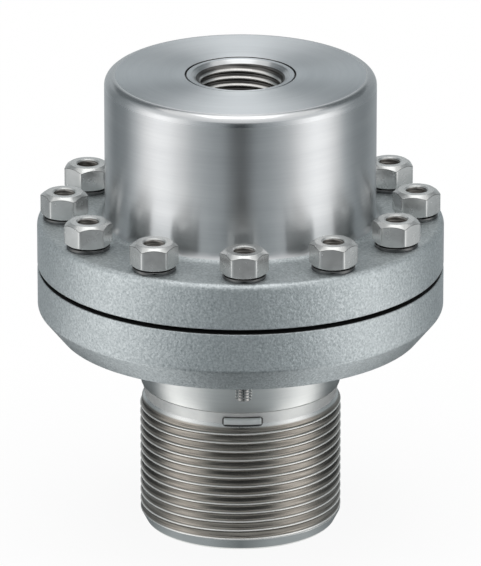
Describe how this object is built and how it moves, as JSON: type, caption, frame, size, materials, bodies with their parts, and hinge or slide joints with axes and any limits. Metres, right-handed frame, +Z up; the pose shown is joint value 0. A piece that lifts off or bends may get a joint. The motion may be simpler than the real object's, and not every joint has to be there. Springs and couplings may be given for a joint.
{
  "type": "gauge diaphragm seal",
  "caption": "Flanged diaphragm seal with a large parallel male process thread below, a female gauge thread in a round boss on top, and a ring of nuts on studs.",
  "frame": {"origin": "centre of the end face of the male process thread, at the lowest point of the seal", "axes": "+Z up along the seal's axis towards the gauge thread, +X to the right and -Y towards the viewer, where the front nut and the small lug are"},
  "size_m": [0.096, 0.096, 0.111],
  "materials": {
    "turned_steel": "fine-turned stainless steel, boss satin bright, flange bead-blasted",
    "thread_steel": "bead-blasted flange, machined neck and thread in stainless steel",
    "bright_steel": "bright stainless steel fasteners with polished edges",
    "stud_steel": "darker rolled stud thread",
    "washer_steel": "plain stainless washer",
    "diaphragm_foil": "thin corrugated stainless foil",
    "gasket_ptfe": "white fluoropolymer flat gasket"
  },
  "bodies": {
    "root": {"upper_housing": "turned_steel", "lower_housing": "thread_steel", "diaphragm": "diaphragm_foil", "process_gasket": "gasket_ptfe", "earth_stud": "bright_steel", "washer_01": "washer_steel", "washer_02": "washer_steel", "washer_03": "washer_steel", "washer_04": "washer_steel", "washer_05": "washer_steel", "washer_06": "washer_steel", "washer_07": "washer_steel", "washer_08": "washer_steel", "washer_09": "washer_steel", "washer_10": "washer_steel", "washer_11": "washer_steel", "washer_12": "washer_steel", "nut_01": "bright_steel", "nut_02": "bright_steel", "nut_03": "bright_steel", "nut_04": "bright_steel", "nut_05": "bright_steel", "nut_06": "bright_steel", "nut_07": "bright_steel", "nut_08": "bright_steel", "nut_09": "bright_steel", "nut_10": "bright_steel", "nut_11": "bright_steel", "nut_12": "bright_steel", "stud_01": "stud_steel", "stud_02": "stud_steel", "stud_03": "stud_steel", "stud_04": "stud_steel", "stud_05": "stud_steel", "stud_06": "stud_steel", "stud_07": "stud_steel", "stud_08": "stud_steel", "stud_09": "stud_steel", "stud_10": "stud_steel", "stud_11": "stud_steel", "stud_12": "stud_steel"}
  },
  "joints": []
}
